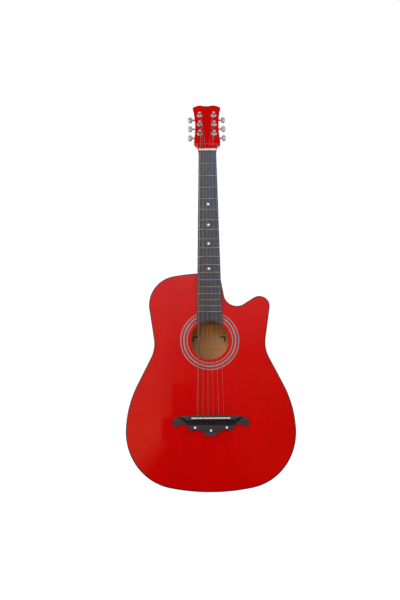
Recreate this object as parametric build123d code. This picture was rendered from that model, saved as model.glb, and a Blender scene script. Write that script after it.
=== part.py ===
from build123d import *
import os
from math import acos, asin, atan2, cos, hypot, pi, radians, sin, sqrt, tan

# Steel-string acoustic guitar, 38-inch class, with one cutaway. Millimetres.
# +Z runs up the neck, the front faces -Y, and the cutaway is on the +X side.
# The body stands on Z = 0, and its front-to-back middle is Y = 0.
os.makedirs("parts", exist_ok=True)

# ---- body: overall sizes
body_length = 476.5
body_depth = 85.0
lower_bout_half = 183.3
lower_bout_z = 125.0
waist_half = 125.2
waist_drop = 166.5
upper_bout_half = 139.0
upper_bout_drop = 74.5

# ---- body: radii of the outline
tail_radius = 460.0
lower_side_radius = 215.0
waist_radius = 70.0
upper_side_radius = 66.0
top_end_radius = 480.0
horn_half = 139.0
horn_drop = 79.5
horn_radius = 23.3
valley_x = 63.5
valley_drop = 49.5
valley_radius = 29.9
cutaway_lean = 9.7

# ---- body: walls and wood inside
top_thickness = 3.0
back_thickness = 2.5
side_thickness = 2.0
binding_height = 5.5
lining_width = 6.0
lining_depth = 14.0
neck_block_half = 34.0
neck_block_length = 38.0
tail_block_half = 38.0
tail_block_length = 20.0
brace_width = 8.0
top_brace_depth = 13.0
back_brace_depth = 10.0
brace_end_gap = 0.5
x_brace_cross_drop = 73.5
x_brace_half_angle = 46.0
upper_brace_rise = 64.5
back_brace_heights = [72.0, 165.0, 262.0, 372.0]

# ---- soundhole and rosette
soundhole_drop = 158.0
soundhole_radius = 43.7
rosette_radii = [(50.6, 52.4), (56.9, 60.3), (64.6, 66.6)]
rosette_depth = 0.8
label_width = 87.0
label_height = 108.0
label_rise = 23.0
label_thickness = 0.4

# ---- scale, nut and fingerboard
scale_length = 638.0
neck_length = 318.65
nut_length = 5.0
nut_rise = 2.5
nut_half = 22.0
nut_bearing = 1.5
nut_run_off = 18.0
nut_slot_fan = 0.4
board_taper = 0.01567
board_thickness = 6.0
board_end_gap = 0.3
fret_count = 18
fret_crown_width = 2.2
fret_crown_height = 1.0
fret_tang_width = 0.6
fret_tang_depth = 1.8
fret_end_gap = 0.4
marker_frets = [5, 7, 9, 12]
marker_radius = 3.0
marker_depth = 1.5

# ---- neck and headstock
neck_depth_nut = 15.0
neck_depth_heel = 17.0
heel_cap_thickness = 3.0
heel_length = 62.0
heel_foot_length = 15.0
heel_foot_half = 12.0
tenon_half = 11.0
tenon_length = 18.0
tenon_cover = 6.0
rod_radius = 3.5
rod_cover = 6.2
rod_nut_radius = 4.6
rod_nut_length = 9.0
rod_top_gap = 25.0
neck_bolt_radius = 3.0
neck_bolt_reach = 12.0
neck_bolt_drops = [32.0, 56.0]
head_pitch = 15.0
head_step = 2.5
head_thickness = 15.0
head_length = 171.0
head_bevel = 1.4
head_side_half = 31.0
head_corner_half = 38.2
head_shoulder_half = 33.7

# ---- strings, heaviest first
string_diameters = [1.35, 1.07, 0.81, 0.61, 0.41, 0.30]
wound_count = 4
saddle_spacing = 11.2
nut_spacing = 7.3
nut_slot_rise = 1.45
string_lift = 0.03
string_bend_radius = 2.5
coil_turns = 3
coil_gap = 0.12
coil_start_height = 3.4
coil_pitch_share = 0.96

# ---- bridge
bridge_height = 7.2
wing_height = 4.4
trough_floor = 2.2
trough_half = 54.0
trough_low_drop = 14.6
trough_high_drop = 4.0
saddle_setback = 8.15
saddle_length = 84.0
saddle_thickness = 3.0
saddle_rise = 4.0
saddle_seat = 3.5
string_hole_height = 4.0
string_hole_radius = 1.0
ball_radius = 1.9
ball_length = 4.0
ball_pocket_radius = 2.1
ball_wall = 3.4
bolt_drops = [(-34.0, 19.5), (0.0, 25.4), (34.0, 19.5)]
bolt_radius = 1.5
bolt_head_radius = 2.4
bolt_head_height = 2.0
bolt_tail = 3.0
cap_radius = 2.5
cap_thickness = 1.2
nut_plate_radius = 3.2
bridge_plate_depth = 2.5

# ---- tuning machines
post_x = 18.7
post_rows = [58.0, 93.0, 128.0]
post_radius = 2.8
post_height = 10.5
post_cap_radius = 3.3
post_cap_height = 1.3
post_spigot_radius = 1.9
running_gap = 0.05
bushing_radius = 4.5
bushing_depth = 9.0
washer_radius = 7.0
washer_height = 1.2
plate_thickness = 1.0
plate_inner_x = 11.5
plate_outer_x = 28.0
plate_margin = 10.0
gear_teeth = 14
gear_module = 0.6
gear_width = 4.0
gear_centre_depth = 4.5
gear_addendum = 0.55
gear_root_radius = 3.45
worm_pitch_radius = 1.9
worm_outer_radius = 2.4
worm_core_radius = 1.1
worm_half_length = 3.4
worm_phase = 160.0
thread_root_half = 0.40
thread_tip_half = 0.17
worm_end_float = 0.2
shaft_radius = 1.5
ear_thickness = 1.2
ear_offsets = [-5.6, 6.4]
ear_half = 3.2
button_x = 44.5
button_width = 13.0
button_length = 19.5
button_thickness = 7.4
button_edge = 3.2
button_collar_radius = 2.6
button_collar_length = 4.5
screw_radius = 1.2
screw_head_radius = 2.3
screw_head_height = 1.2
screw_length = 9.0

# ---- derived places
waist_z = body_length - waist_drop
upper_bout_z = body_length - upper_bout_drop
horn_z = body_length - horn_drop
valley_z = body_length - valley_drop
soundhole_z = body_length - soundhole_drop
label_top_z = soundhole_z + label_rise
x_brace_cross_z = soundhole_z - x_brace_cross_drop
upper_brace_z = soundhole_z + upper_brace_rise
nut_z = body_length + neck_length
saddle_z = nut_z - scale_length - saddle_setback
trough_low_z = saddle_z - trough_low_drop
trough_high_z = saddle_z - trough_high_drop
bolt_spots = [(x, saddle_z - drop) for x, drop in bolt_drops]
binding_width = side_thickness
nut_height = board_thickness + nut_rise
nut_slot_height = board_thickness + nut_slot_rise
saddle_height = board_thickness + saddle_rise
front_reach = saddle_height + string_diameters[0] + string_lift
face_y = (front_reach - body_depth) / 2
back_y = face_y + body_depth
back_inner_y = back_y - back_thickness
top_inner_y = face_y + top_thickness
lining_inset = side_thickness + lining_width
board_top_y = face_y - board_thickness
head_start_z = nut_z + nut_length
gear_pitch_radius = gear_module * gear_teeth / 2
worm_distance = gear_pitch_radius + worm_pitch_radius
worm_lead = pi * gear_module
reach = 1000.0


# ---- shared shapes
def front_plane(y):
    # local X is X, local Y is Z, and the normal looks out of the front
    return Plane(origin=(0, y, 0), x_dir=(1, 0, 0), z_dir=(0, -1, 0))


def plate(face, y_front, y_back):
    return extrude(front_plane(y_back) * face, amount=y_back - y_front)


def head_plane():
    # local Y runs up the headstock from behind the nut, local Z out of its face
    pitch = radians(head_pitch)
    return Plane(
        origin=(0, face_y - head_step, head_start_z),
        x_dir=(1, 0, 0),
        z_dir=(0, -cos(pitch), sin(pitch)),
    )


def block(x0, x1, y0, y1, z0, z1):
    middle = ((x0 + x1) / 2, (y0 + y1) / 2, (z0 + z1) / 2)
    return Pos(*middle) * Box(x1 - x0, y1 - y0, z1 - z0)


def rod_along_z(x, y, z0, z1, radius):
    return Pos(x, y, (z0 + z1) / 2) * Cylinder(radius, z1 - z0)


def rod_through(x, z, y_front, y_back, radius):
    middle = Pos(x, (y_front + y_back) / 2, z)
    return middle * Rot(90, 0, 0) * Cylinder(radius, y_back - y_front)


def join(pieces):
    whole = pieces[0]
    for piece in pieces[1:]:
        whole = whole + piece
    return whole


def group(pieces):
    return Compound(children=list(pieces))


def peg_point(peg, heading):
    # the point of a peg's circle where an outline that turns left round it has this heading
    x, z, radius = peg
    return (x + radius * sin(heading), z - radius * cos(heading))


def belt(pegs, first_heading, last_heading):
    # arcs round the pegs joined by their common tangents; a negative radius turns right
    edges = []
    heading = first_heading
    start = peg_point(pegs[0], heading)
    for number, peg in enumerate(pegs):
        if number + 1 < len(pegs):
            other = pegs[number + 1]
            step = (other[0] - peg[0], other[1] - peg[1])
            lean = (other[2] - peg[2]) / hypot(*step)
            leaving = atan2(step[1], step[0]) - asin(max(-1.0, min(1.0, lean)))
        else:
            leaving = last_heading
        turn = (leaving - heading) % (2 * pi)
        if peg[2] < 0:
            turn = turn - 2 * pi
        middle = peg_point(peg, heading + turn / 2)
        end = peg_point(peg, heading + turn)
        edges.append(ThreePointArc(start, middle, end))
        heading = heading + turn
        start = end
        if number + 1 < len(pegs):
            meeting = peg_point(other, heading)
            if hypot(meeting[0] - end[0], meeting[1] - end[1]) > 0.001:
                edges.append(Line(end, meeting))
                start = meeting
    return edges, start


def corner_radius(half, height, end_radius):
    # radius of the arc that is upright at the widest place and meets the end arc smoothly
    return (half**2 + height**2 - 2 * height * end_radius) / (2 * (half - end_radius))


def body_outline(inset=0.0):
    lower_corner = corner_radius(lower_bout_half, lower_bout_z, tail_radius)
    upper_corner = corner_radius(
        upper_bout_half, body_length - upper_bout_z, top_end_radius
    )
    tail = (0, tail_radius, tail_radius - inset)
    corner = (lower_bout_half - lower_corner, lower_bout_z, lower_corner - inset)
    side = (lower_bout_half - lower_side_radius, lower_bout_z, lower_side_radius - inset)
    waist = (waist_half + waist_radius, waist_z, -(waist_radius + inset))
    horn = (horn_half - horn_radius, horn_z, horn_radius - inset)
    valley = (valley_x, valley_z, -(valley_radius + inset))
    lean = pi / 2 + radians(cutaway_lean)
    edges, end = belt([tail, corner, side, waist, horn, valley], 0.0, lean)

    end_z = body_length - inset
    neck_corner = (end[0] - (end_z - end[1]) * tan(radians(cutaway_lean)), end_z)
    edges.append(Line(end, neck_corner))
    edges.append(Line(neck_corner, (0, end_z)))

    top_end = (0, body_length - top_end_radius, top_end_radius - inset)
    shoulder = (upper_corner - upper_bout_half, upper_bout_z, upper_corner - inset)
    bout = (upper_side_radius - upper_bout_half, upper_bout_z, upper_side_radius - inset)
    bass = [top_end, shoulder, bout]
    bass += [(-x, z, radius) for x, z, radius in (waist, side, corner, tail)]
    down, _ = belt(bass, pi, 2 * pi)
    return make_face(edges + down)


def body_prism(inset, y_front, y_back):
    return plate(body_outline(inset), y_front, y_back)


def body_ring(outer_inset, inner_inset, y_front, y_back):
    return plate(body_outline(outer_inset) - body_outline(inner_inset), y_front, y_back)


# ---- body
def rod_hole():
    z0 = body_length - neck_block_length - 1
    return rod_along_z(0, rod_y(), z0, nut_z - rod_top_gap, rod_radius)


def rod_y():
    return face_y + rod_cover + rod_radius


def rosette_rings():
    rings = []
    for inner, outer in rosette_radii:
        ring = Pos(0, soundhole_z) * (Circle(outer) - Circle(inner))
        rings.append(plate(ring, face_y, face_y + rosette_depth))
    return rings


def make_top():
    face = body_outline(binding_width) - Pos(0, soundhole_z) * Circle(soundhole_radius)
    top = plate(face, face_y, top_inner_y)
    for ring in rosette_rings():
        top = top - ring
    return top - bridge_bolt_holes()


def make_back():
    return body_prism(binding_width, back_inner_y, back_y)


def make_bindings():
    front = body_ring(0, binding_width, face_y, face_y + binding_height)
    rear = body_ring(0, binding_width, back_y - binding_height, back_y)
    return group([front, rear])


def tenon():
    z0 = body_length - tenon_length
    y0 = face_y + tenon_cover
    y1 = back_inner_y - tenon_cover
    return block(-tenon_half, tenon_half, y0, y1, z0, body_length + 1)


def make_side(sign):
    ring = body_ring(
        0, side_thickness, face_y + binding_height, back_y - binding_height
    )
    half = block(min(0, sign * reach), max(0, sign * reach), -reach, reach, -1, reach)
    return (ring & half) - tenon() - rod_hole()


def make_neck_block():
    inside = body_prism(side_thickness, top_inner_y, back_inner_y)
    z0 = body_length - neck_block_length
    wood = block(-neck_block_half, neck_block_half, -reach, reach, z0, body_length)
    holes = [rod_hole()] + [neck_bolt(drop) for drop in neck_bolt_drops]
    return (inside & wood) - tenon() - join(holes)


def make_tail_block():
    inside = body_prism(side_thickness, top_inner_y, back_inner_y)
    wood = block(-tail_block_half, tail_block_half, -reach, reach, 0, tail_block_length)
    return inside & wood


def make_linings():
    front = body_ring(
        side_thickness, lining_inset, top_inner_y, top_inner_y + lining_depth
    )
    rear = body_ring(
        side_thickness, lining_inset, back_inner_y - lining_depth, back_inner_y
    )
    neck_z = body_length - neck_block_length
    at_neck = block(
        -neck_block_half, neck_block_half, -reach, reach, neck_z, reach
    )
    at_tail = block(
        -tail_block_half, tail_block_half, -reach, reach, -1, tail_block_length
    )
    strips = []
    for ring in (front, rear):
        strips += (ring - at_neck - at_tail).solids()
    return group(strips)


def brace(x0, z0, x1, z1, y_front, y_back):
    # a bar between two points of the plate, trimmed to the inside of the linings
    length = hypot(x1 - x0, z1 - z0)
    turn = atan2(z1 - z0, x1 - x0) * 180 / pi
    middle = Pos((x0 + x1) / 2, (z0 + z1) / 2)
    bar = middle * Rot(0, 0, turn) * Rectangle(length, brace_width)
    inside = body_prism(lining_inset + brace_end_gap, y_front, y_back)
    return plate(bar, y_front, y_back) & inside


def top_brace(x0, z0, x1, z1):
    return brace(x0, z0, x1, z1, top_inner_y, top_inner_y + top_brace_depth)


def make_top_braces():
    run = 400.0
    lean = radians(x_brace_half_angle)
    cross = [
        top_brace(
            -side * run * sin(lean),
            x_brace_cross_z - run * cos(lean),
            side * run * sin(lean),
            x_brace_cross_z + run * cos(lean),
        )
        for side in (-1, 1)
    ]
    upper = top_brace(-reach, upper_brace_z, reach, upper_brace_z)
    tone = [top_brace(100, 112, -95, 62), top_brace(108, 76, -40, 34)]
    finger = [top_brace(side * 86, 186, side * 152, 172) for side in (-1, 1)]
    return group([join(cross), upper] + tone + finger)


def make_back_braces():
    y_front = back_inner_y - back_brace_depth
    bars = [
        brace(-reach, z, reach, z, y_front, back_inner_y) for z in back_brace_heights
    ]
    return group([bar - make_label() for bar in bars])


def make_bridge_plate():
    depth = bridge_plate_depth
    low_z = bolt_spots[1][1] - 6
    high_z = saddle_z + 18
    outline = Polyline(
        (-84, low_z), (84, low_z), (62, high_z), (-62, high_z), close=True
    )
    slab = plate(make_face(outline), top_inner_y, top_inner_y + depth)
    return slab - bridge_bolt_holes()


def make_rosette():
    return group(rosette_rings())


def make_label():
    face = Pos(0, label_top_z - label_height / 2) * Rectangle(label_width, label_height)
    return plate(face, back_inner_y - label_thickness, back_inner_y)


# ---- bridge
def bridge_bolt_holes():
    y0 = face_y - bridge_height
    y1 = top_inner_y + bridge_plate_depth + 1
    return join([rod_through(x, z, y0, y1, bolt_radius) for x, z in bolt_spots])


def bridge_point(side, x, z):
    # a point of the bridge's outline, measured from the middle of the saddle
    return (side * x, saddle_z + z)


def bridge_half_edges(side):
    # from the middle of the upper edge out to the wing and in to the middle of the lower edge
    def arc(*points):
        return ThreePointArc(*[bridge_point(side, x, z) for x, z in points])

    return [
        arc((0, 6.7), (37, 5.8), (72, 3.0)),
        arc((72, 3.0), (79.2, -1.4), (81.7, -10.0)),
        arc((81.7, -10.0), (81.0, -15.4), (78.0, -20.0)),
        arc((78.0, -20.0), (61.5, -12.5), (46.5, -20.5)),
        arc((46.5, -20.5), (43.6, -23.8), (42.0, -27.0)),
        arc((42.0, -27.0), (28.5, -23.7), (16.0, -30.0)),
        arc((16.0, -30.0), (8.8, -35.2), (0, -36.5)),
    ]


def bridge_body_edges(side):
    # the raised middle: its edge leaves the upper edge near the wing and comes down in an S
    def arc(*points):
        return ThreePointArc(*[bridge_point(side, x, z) for x, z in points])

    return [
        arc((0, 6.7), (37, 5.8), (72, 3.0)),
        arc((72, 3.0), (58.5, -1.7), (51.0, -13.0)),
        arc((51.0, -13.0), (47.5, -20.7), (42.0, -27.0)),
        arc((42.0, -27.0), (28.5, -23.7), (16.0, -30.0)),
        arc((16.0, -30.0), (8.8, -35.2), (0, -36.5)),
    ]


def bridge_groove(side):
    # a sunken band that runs from the end of the trough up to the shoulder of the wing
    tip = bridge_point(side, 70.5, 2.2)
    high = bridge_point(side, trough_half - 2, -trough_high_drop - 1)
    low = bridge_point(side, trough_half - 2, -trough_low_drop + 0.6)
    band = make_face(
        [
            ThreePointArc(tip, bridge_point(side, 61.0, 0.9), high),
            Line(high, low),
            ThreePointArc(low, bridge_point(side, 62.3, -3.4), tip),
        ]
    )
    return plate(band, face_y - reach, face_y - trough_floor)


def saddle_solid():
    low = face_y - saddle_seat
    high = face_y - saddle_height
    radius = saddle_thickness / 2
    bar = block(
        -saddle_length / 2,
        saddle_length / 2,
        high + radius,
        low,
        saddle_z - radius,
        saddle_z + radius,
    )
    crown = Pos(0, high + radius, saddle_z) * Rot(0, 90, 0) * Cylinder(
        radius, saddle_length
    )
    return bar + crown


def string_x(number, spacing):
    return (number - (len(string_diameters) - 1) / 2) * spacing


def ball_top_z():
    return trough_low_z - ball_wall


def make_bridge():
    whole = make_face(bridge_half_edges(1) + bridge_half_edges(-1))
    raised = make_face(bridge_body_edges(1) + bridge_body_edges(-1))
    body = plate(whole, face_y - wing_height, face_y)
    body = body + plate(raised, face_y - bridge_height, face_y)
    trough = block(
        -trough_half,
        trough_half,
        face_y - reach,
        face_y - trough_floor,
        trough_low_z,
        trough_high_z,
    )
    body = body - trough - saddle_solid() - bridge_bolt_holes()
    body = body - bridge_groove(1) - bridge_groove(-1)
    for x, z in bolt_spots:
        y0 = face_y - bridge_height - 1
        y1 = face_y - bridge_height + cap_thickness + bolt_head_height
        body = body - rod_through(x, z, y0, y1, cap_radius)
    for number in range(len(string_diameters)):
        x = string_x(number, saddle_spacing)
        y = face_y - string_hole_height
        body = body - rod_along_z(x, y, 0, trough_high_z, string_hole_radius)
        body = body - rod_along_z(x, y, 0, ball_top_z(), ball_pocket_radius)
    return body


def make_bridge_bolts():
    pieces = []
    head_y = face_y - bridge_height + cap_thickness
    plate_y = top_inner_y + bridge_plate_depth
    for x, z in bolt_spots:
        head = rod_through(x, z, head_y, head_y + bolt_head_height, bolt_head_radius)
        shank_y = head_y + bolt_head_height
        shank = rod_through(x, z, shank_y, plate_y + bolt_tail, bolt_radius)
        pieces.append(head + shank)
        spot = front_plane(plate_y + bolt_tail - 0.6) * Pos(x, z)
        ring = spot * (RegularPolygon(nut_plate_radius, 6) - Circle(bolt_radius))
        pieces.append(extrude(ring, amount=bolt_tail - 0.6))
    return group(pieces)


def make_bridge_caps():
    caps = []
    for x, z in bolt_spots:
        y0 = face_y - bridge_height
        caps.append(rod_through(x, z, y0 - 0.2, y0 + cap_thickness, cap_radius))
    return group([chamfer(cap.edges().sort_by(Axis.Y)[0], 0.3) for cap in caps])


# ---- fingerboard
def board_half(z):
    return nut_half + (nut_z - z) * board_taper


def fret_z(number):
    return nut_z - scale_length * (1 - 2 ** (-number / 12))


def board_end_radius():
    return soundhole_radius + board_end_gap


def board_outline():
    radius = board_end_radius()
    low_z = soundhole_z
    sheet = Polyline(
        (-nut_half, nut_z),
        (-board_half(low_z), low_z),
        (board_half(low_z), low_z),
        (nut_half, nut_z),
        close=True,
    )
    return make_face(sheet) - Pos(0, soundhole_z) * Circle(radius)


def fret_profile():
    crown = fret_crown_width / 2
    tang = fret_tang_width / 2
    top = board_thickness + fret_crown_height
    edges = [
        ThreePointArc((-crown, board_thickness), (0, top), (crown, board_thickness)),
        Line((crown, board_thickness), (tang, board_thickness)),
        Line((tang, board_thickness), (tang, board_thickness - fret_tang_depth)),
        Line(
            (tang, board_thickness - fret_tang_depth),
            (-tang, board_thickness - fret_tang_depth),
        ),
        Line((-tang, board_thickness - fret_tang_depth), (-tang, board_thickness)),
        Line((-tang, board_thickness), (-crown, board_thickness)),
    ]
    return make_face(edges)


def fret(number):
    z = fret_z(number)
    half = board_half(z) - fret_end_gap
    across = Plane(origin=(-half, face_y, z), x_dir=(0, 0, 1), z_dir=(1, 0, 0))
    # local Y of this plane points out of the board's front
    return extrude(across * fret_profile(), amount=2 * half)


def marker(number):
    z = (fret_z(number) + fret_z(number - 1)) / 2
    return rod_through(0, z, board_top_y, board_top_y + marker_depth, marker_radius)


def make_fingerboard():
    parts = plate(board_outline(), board_top_y, face_y)
    board = parts.solids().sort_by(SortBy.VOLUME)[-1]
    for number in range(1, fret_count + 1):
        z = fret_z(number)
        y1 = board_top_y + fret_tang_depth
        tang = fret_tang_width / 2
        slot = block(-reach, reach, board_top_y - 1, y1, z - tang, z + tang)
        board = board - slot
    for number in marker_frets:
        board = board - marker(number)
    return board


def make_frets():
    return group([fret(number) for number in range(1, fret_count + 1)])


def make_fret_markers():
    return group([marker(number) for number in marker_frets])


def make_nut():
    y0 = face_y - nut_height
    bar = block(-nut_half, nut_half, y0, face_y, nut_z, nut_z + nut_length)
    rounded = [edge for edge in bar.edges().filter_by(Axis.X).sort_by(Axis.Y)[:2]]
    bar = fillet(rounded, 0.8)
    for number, diameter in enumerate(string_diameters):
        x = string_x(number, nut_spacing)
        half = diameter / 2 + 0.05
        floor = face_y - nut_slot_height
        bar = bar - block(x - half, x + half, y0 - 1, floor, 0, reach)
        run_off = Pos(0, -3, 5) * Box(2 * (half + nut_slot_fan), 6, 10)
        edge = Pos(x, floor, nut_z + nut_bearing)
        bar = bar - edge * Rot(-nut_run_off, 0, 0) * run_off
    return bar


# ---- neck
def neck_section(z, half, depth):
    flat = Plane(origin=(0, face_y, z), x_dir=(1, 0, 0), z_dir=(0, 0, 1))
    back = EllipticalCenterArc((0, 0), half, depth, arc_size=180)
    return flat * make_face([back, Line((-half, 0), (half, 0))])


def neck_shaft():
    low = neck_section(body_length - 5, board_half(body_length), neck_depth_heel)
    high = neck_section(head_start_z, nut_half, neck_depth_nut)
    return loft([low, high])


def heel_section(y, half, length):
    root = body_length - 5
    sketch_plane = front_plane(y)
    curve = EllipticalCenterArc((0, root), half, length + 5, arc_size=180)
    return sketch_plane * make_face([curve, Line((-half, root), (half, root))])


def heel():
    foot_y = back_y - heel_cap_thickness
    deep = foot_y - face_y
    steps = [
        (0.10, 0.94, 1.0),
        (0.32, 0.70, 0.56),
        (0.62, 0.55, 0.34),
    ]
    half = board_half(body_length)
    sections = [
        heel_section(face_y + share * deep, half * wide, heel_length * long)
        for share, wide, long in steps
    ]
    sections.append(heel_section(foot_y, heel_foot_half, heel_foot_length))
    return loft(sections)


def head_outline():
    def at(side, x, d):
        return (side * x, d)

    edges = []
    for side in (-1, 1):
        edges += [
            Line(at(side, 0, 0), at(side, nut_half, 0)),
            Line(at(side, nut_half, 0), at(side, nut_half, 4)),
            ThreePointArc(
                at(side, nut_half, 4),
                at(side, 25.6, 19.5),
                at(side, head_shoulder_half, 31),
            ),
            ThreePointArc(
                at(side, head_shoulder_half, 31),
                at(side, head_side_half, 82),
                at(side, head_corner_half, 160),
            ),
            ThreePointArc(
                at(side, head_corner_half, 160),
                at(side, 28.5, 168),
                at(side, 16.7, head_length),
            ),
            ThreePointArc(
                at(side, 16.7, head_length), at(side, 8, 169.0), at(side, 0, 168)
            ),
        ]
    return make_face(edges)


def headstock():
    outline = head_outline()
    body_height = head_thickness - head_bevel
    body = extrude(Pos(0, 0, -head_thickness) * outline, amount=body_height)
    edge = extrude(Pos(0, 0, -head_bevel) * outline, amount=head_bevel, taper=45)
    return head_plane() * (body + edge)


def neck_fairing():
    # the back of the neck runs on into the back of the headstock
    place = head_plane()
    shaft_end = neck_section(head_start_z - 14, nut_half, neck_depth_nut)
    cut = Plane(
        origin=tuple(place.origin + place.y_dir * 24),
        x_dir=(1, 0, 0),
        z_dir=tuple(place.y_dir),
    )
    half = 26.0
    curve = EllipticalCenterArc((0, 1.0), half, head_thickness - 0.2, arc_size=180)
    head_end = cut * make_face([curve, Line((-half, 1.0), (half, 1.0))])
    return loft([shaft_end, head_end])


def make_neck():
    nut_bed = block(-nut_half, nut_half, face_y, face_y + 1, nut_z, head_start_z)
    wood = join([neck_shaft(), heel(), headstock(), neck_fairing(), nut_bed])
    wood = wood - body_prism(0, face_y - 1, back_y + 1)
    wood = wood - block(-nut_half, nut_half, face_y - 20, face_y, 0, head_start_z)
    wood = wood + tenon()
    wood = wood - rod_hole()
    for drop in neck_bolt_drops:
        wood = wood - neck_bolt(drop)
    place = head_plane()
    for x, d in post_spots():
        hole = Pos(x, d, -head_thickness / 2) * Cylinder(bushing_radius, head_thickness + 4)
        wood = wood - place * hole
    wood = wood - join([place * shank for shank in screw_shanks()])
    return wood.solids().sort_by(SortBy.VOLUME)[-1]


def make_heel_cap():
    foot = heel_section(back_y, heel_foot_half, heel_foot_length)
    cap = extrude(foot, amount=heel_cap_thickness)
    return cap - body_prism(0, face_y, back_y + 1)


def neck_bolt(drop):
    y = face_y + drop
    inside_z = body_length - neck_block_length
    shank = rod_along_z(0, y, inside_z, body_length + neck_bolt_reach, neck_bolt_radius)
    return shank


def make_neck_bolts():
    inside_z = body_length - neck_block_length
    bolts = []
    for drop in neck_bolt_drops:
        head = rod_along_z(
            0, face_y + drop, inside_z - 5, inside_z, neck_bolt_radius * 1.7
        )
        key = rod_along_z(0, face_y + drop, inside_z - 6, inside_z - 2, 1.6)
        bolts.append(neck_bolt(drop) + head - key)
    return group(bolts)


def make_truss_rod():
    inside_z = body_length - neck_block_length
    rod = rod_along_z(0, rod_y(), inside_z, nut_z - rod_top_gap, rod_radius)
    base = Pos(0, rod_y(), inside_z - rod_nut_length)
    adjuster = extrude(base * RegularPolygon(rod_nut_radius, 6), amount=rod_nut_length)
    socket = rod_along_z(0, rod_y(), inside_z - 20, inside_z - 3, 2.2)
    return rod + adjuster - socket


# ---- tuning machines, in the headstock's own coordinates for the +X side
def post_spots():
    return [(side * post_x, d) for side in (-1, 1) for d in post_rows]


def plate_back():
    return -head_thickness - plate_thickness


def gear_centre():
    return -head_thickness - gear_centre_depth


def plate_screw_spots():
    gap = (post_rows[1] - post_rows[0]) / 2
    rows = [post_rows[0] - plate_margin + 3.5]
    rows += [d + gap for d in post_rows[:2]]
    rows += [post_rows[2] + plate_margin + 2.5]
    x = (plate_inner_x + plate_outer_x) / 2
    return [(x, d) for d in rows]


def tuner_plate():
    low = post_rows[0] - plate_margin
    high = post_rows[2] + plate_margin + 6
    width = plate_outer_x - plate_inner_x
    middle = Pos((plate_inner_x + plate_outer_x) / 2, (low + high) / 2)
    face = middle * RectangleRounded(width, high - low, 3.0)
    metal = extrude(Pos(0, 0, plate_back()) * face, amount=plate_thickness)
    tip = gear_centre() - ear_half
    for d in post_rows:
        for offset in ear_offsets:
            x = post_x + offset
            y = d + worm_distance
            ear = block(
                x - ear_thickness / 2,
                x + ear_thickness / 2,
                y - ear_half,
                y + ear_half,
                tip + ear_half,
                plate_back(),
            )
            nose = Pos(x, y, gear_centre()) * Rot(0, 90, 0)
            metal = metal + ear + nose * Cylinder(ear_half, ear_thickness)
            metal = metal - nose * Cylinder(shaft_radius + running_gap, ear_thickness * 2)
        metal = metal - Pos(post_x, d, plate_back()) * Cylinder(
            post_radius + running_gap, 10
        )
    for x, d in plate_screw_spots():
        metal = metal - Pos(x, d, plate_back()) * Cylinder(screw_radius, 10)
    return metal


def mirrored(shape, side):
    return shape if side > 0 else mirror(shape, about=Plane.YZ)


def make_tuner_plates():
    place = head_plane()
    return group([place * mirrored(tuner_plate(), side) for side in (-1, 1)])


def plate_screw(x, d):
    shank_top = -head_thickness - plate_thickness + screw_length
    middle = (plate_back() + shank_top) / 2
    shank = Pos(x, d, middle) * Cylinder(screw_radius, shank_top - plate_back())
    head_low = plate_back() - screw_head_height
    head = Pos(x, d, (head_low + plate_back()) / 2) * Cylinder(
        screw_head_radius, screw_head_height
    )
    head = fillet(head.edges().sort_by(Axis.Z)[0], 0.7)
    slot_middle = Pos(x, d, head_low)
    cross = slot_middle * Box(2.6, 0.5, 1.2) + slot_middle * Box(0.5, 2.6, 1.2)
    return shank + head - cross


def screw_shanks():
    shanks = []
    for x, d in plate_screw_spots():
        for side in (-1, 1):
            low = -head_thickness - 1
            high = plate_back() + screw_length
            middle = Pos(side * x, d, (low + high) / 2)
            shanks.append(middle * Cylinder(screw_radius, high - low))
    return shanks


def make_plate_screws():
    place = head_plane()
    screws = [
        place * plate_screw(side * x, d)
        for side in (-1, 1)
        for x, d in plate_screw_spots()
    ]
    return group(screws)


def bushing():
    bore = post_radius + running_gap
    sleeve = Pos(0, 0, -bushing_depth / 2) * Cylinder(bushing_radius, bushing_depth)
    washer = Pos(0, 0, washer_height / 2) * Cylinder(washer_radius, washer_height)
    washer = chamfer(washer.edges().sort_by(Axis.Z)[-1], 0.5)
    return sleeve + washer - Cylinder(bore, 60)


def make_bushings():
    place = head_plane()
    ring = bushing()
    return group([place * (Pos(x, d, 0) * ring) for x, d in post_spots()])


def tuner_post():
    shoulder = plate_back() - 0.2
    cap_low = post_height - post_cap_height
    barrel = Pos(0, 0, (shoulder + cap_low) / 2) * Cylinder(
        post_radius, cap_low - shoulder
    )
    cap = Pos(0, 0, (cap_low + post_height) / 2) * Cylinder(
        post_cap_radius, post_cap_height
    )
    cap = fillet(cap.edges().sort_by(Axis.Z)[-1], 0.6)
    low = gear_centre() - gear_width / 2
    spigot = Pos(0, 0, (low + shoulder) / 2) * Cylinder(
        post_spigot_radius, shoulder - low
    )
    string_hole = Pos(0, 0, cap_low - 1.2) * Rot(90, 0, 0) * Cylinder(0.8, 20)
    tapped = Pos(0, 0, low) * Cylinder(0.9, 6)
    return barrel + cap + spigot - string_hole - tapped


def tooth_outline(angle):
    # one straight-sided tooth of the wheel, rooted a little inside the hub
    tip = gear_pitch_radius + gear_addendum
    inner = gear_root_radius - 0.3
    half_root = 0.085 * gear_pitch_radius + 0.12
    points = [(inner, -half_root), (tip, -0.17), (tip, 0.17), (inner, half_root)]
    return Rot(0, 0, angle) * make_face(Polyline(*points, close=True))


def gear_wheel():
    # a tooth points straight at the middle of the worm
    hub = Circle(gear_root_radius)
    face = hub
    for number in range(gear_teeth):
        face = face + tooth_outline(90 + number * 360 / gear_teeth)
    wheel = extrude(face - Circle(post_spigot_radius), amount=gear_width)
    return Pos(0, 0, gear_centre() - gear_width / 2) * wheel


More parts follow.
